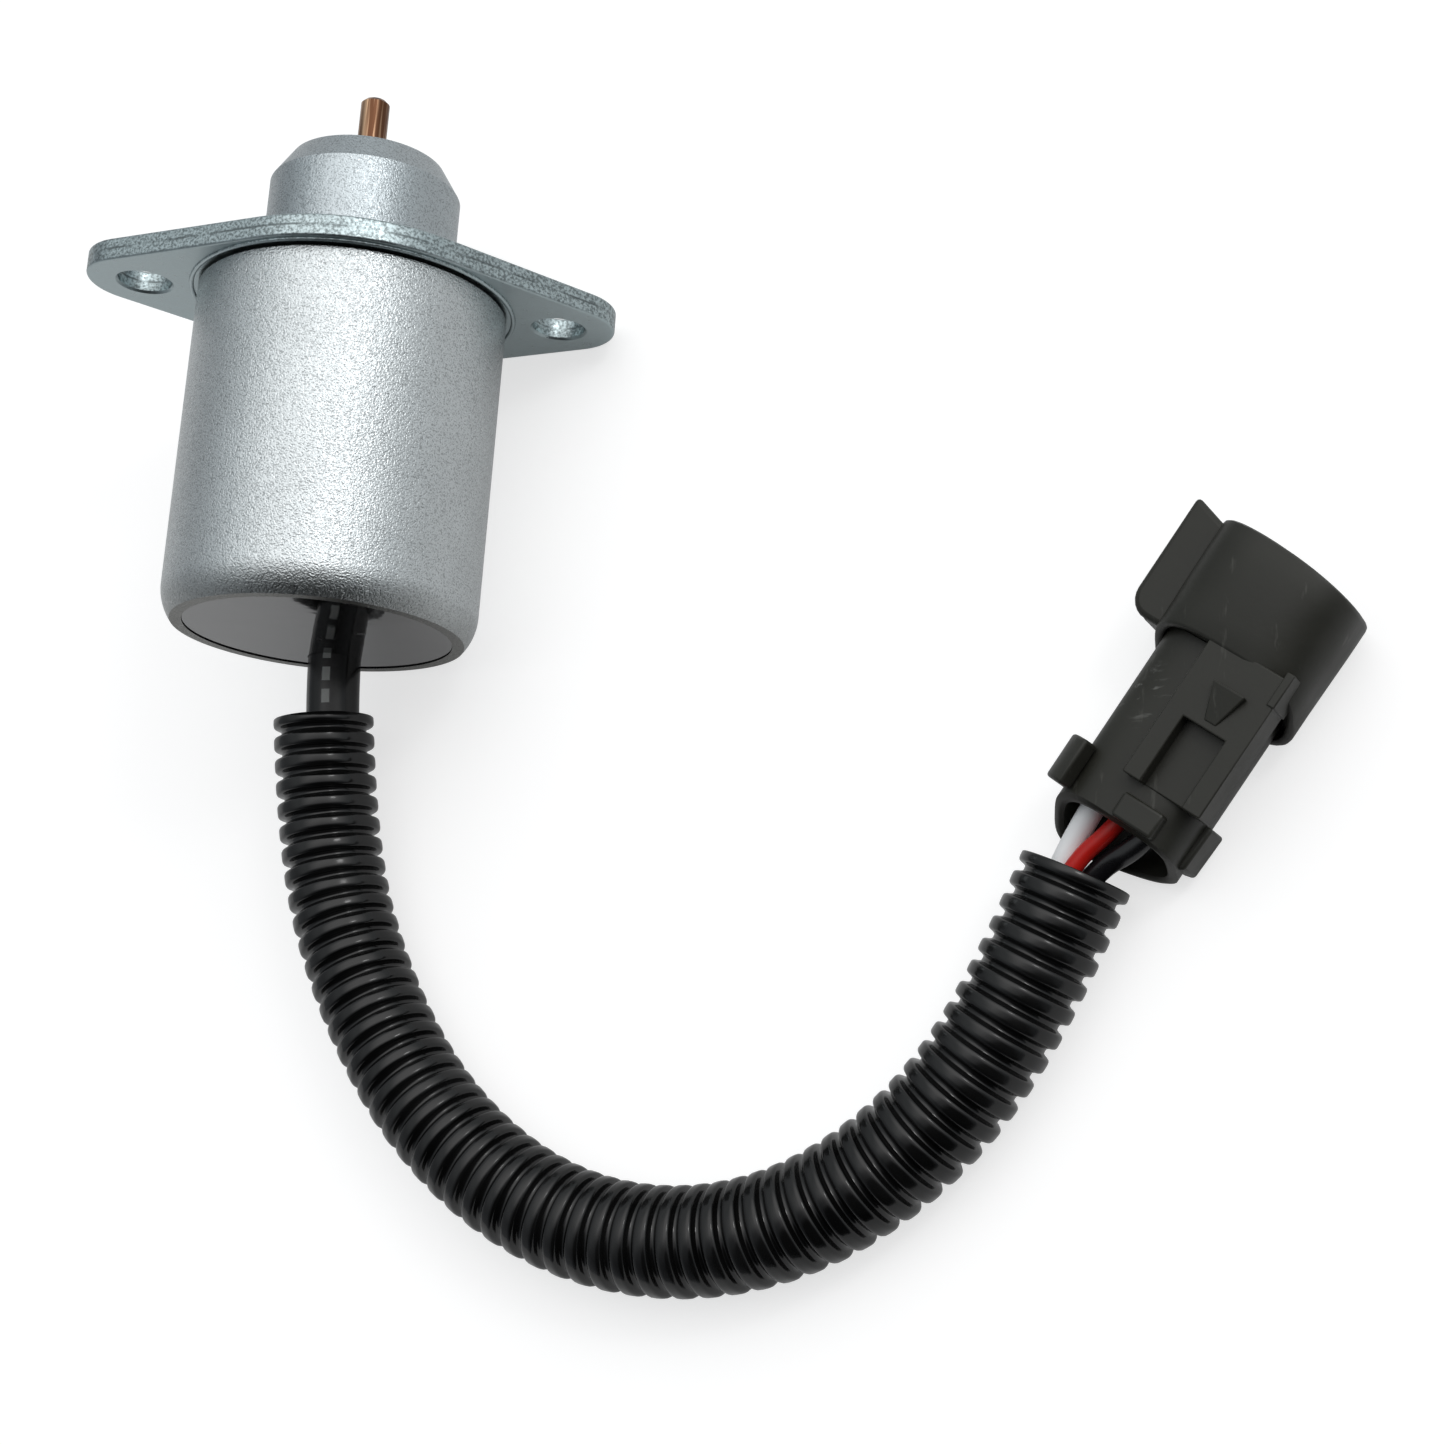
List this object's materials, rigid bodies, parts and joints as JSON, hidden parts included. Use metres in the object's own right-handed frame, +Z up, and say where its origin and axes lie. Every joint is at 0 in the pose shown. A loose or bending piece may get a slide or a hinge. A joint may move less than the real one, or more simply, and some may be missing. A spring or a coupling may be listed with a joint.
{
  "type": "fuel shutoff solenoid",
  "caption": "Pull-in fuel shutoff solenoid: cylindrical case on a two-hole lozenge flange, sprung push rod, and a lead in corrugated conduit ending in a latching plug.",
  "frame": {"origin": "on the plunger's axis, on the flange's front mounting face", "axes": "+Y along the plunger's axis out of the nose, +Z up from the table that the part lies on, +X to the right of +Y as seen from above"},
  "size_m": [0.1644, 0.1586, 0.0454],
  "materials": {
    "zinc_case": "fine blasted zinc plate",
    "zinc_flange": "smooth blue zinc plate",
    "zinc_nose": "fine blasted zinc plate",
    "bronze": "turned bronze",
    "brass_tube": "drawn brass",
    "insulation": "insulating film",
    "bobbin_plastic": "moulded nylon",
    "copper_wire": "enamelled copper",
    "soft_iron": "machined iron",
    "potting_resin": "smooth cast resin",
    "plated_iron": "nickel plated iron",
    "coppered_rod": "ground, coppered steel",
    "spring_steel": "spring wire",
    "conduit_black": "semi-gloss corrugated plastic",
    "sleeve_black": "glossy heat-shrunk sleeve",
    "wire_white": "smooth insulation",
    "wire_red": "smooth insulation",
    "wire_black": "smooth insulation",
    "plug_plastic": "glass-filled nylon, scuffed",
    "seal_rubber": "silicone rubber",
    "tinned_brass": "tin plated"
  },
  "bodies": {
    "solenoid": {"case_shell": "zinc_case", "mounting_flange": "zinc_flange", "nose_boss": "zinc_nose", "rod_bush": "bronze", "guide_tube": "brass_tube", "insulating_washer": "insulation", "coil_bobbin": "bobbin_plastic", "pull_winding": "copper_wire", "hold_winding": "copper_wire", "winding_wrap": "insulation", "rear_plate": "soft_iron", "rear_pole": "soft_iron", "stop_washer": "brass_tube", "potting_fill": "potting_resin", "return_spring": "spring_steel", "conduit": "conduit_black", "cable_sleeve": "sleeve_black", "white_wire": "wire_white", "red_wire": "wire_red", "black_wire": "wire_black", "connector_housing": "plug_plastic", "rear_retainer": "plug_plastic", "wire_seal_1": "seal_rubber", "terminal_pin_1": "tinned_brass", "wire_seal_2": "seal_rubber", "terminal_pin_2": "tinned_brass", "wire_seal_3": "seal_rubber", "terminal_pin_3": "tinned_brass"},
    "plunger": {"plunger_core": "plated_iron", "push_rod": "coppered_rod"}
  },
  "joints": [
    {"name": "plunger_slide", "type": "slide", "parent": "solenoid", "child": "plunger", "axis": [0, -1, 0], "range_m": [0, 0.0083], "stiffness_N_per_m": 600, "springref_m": -0.01, "deforming": ["return_spring"]}
  ]
}
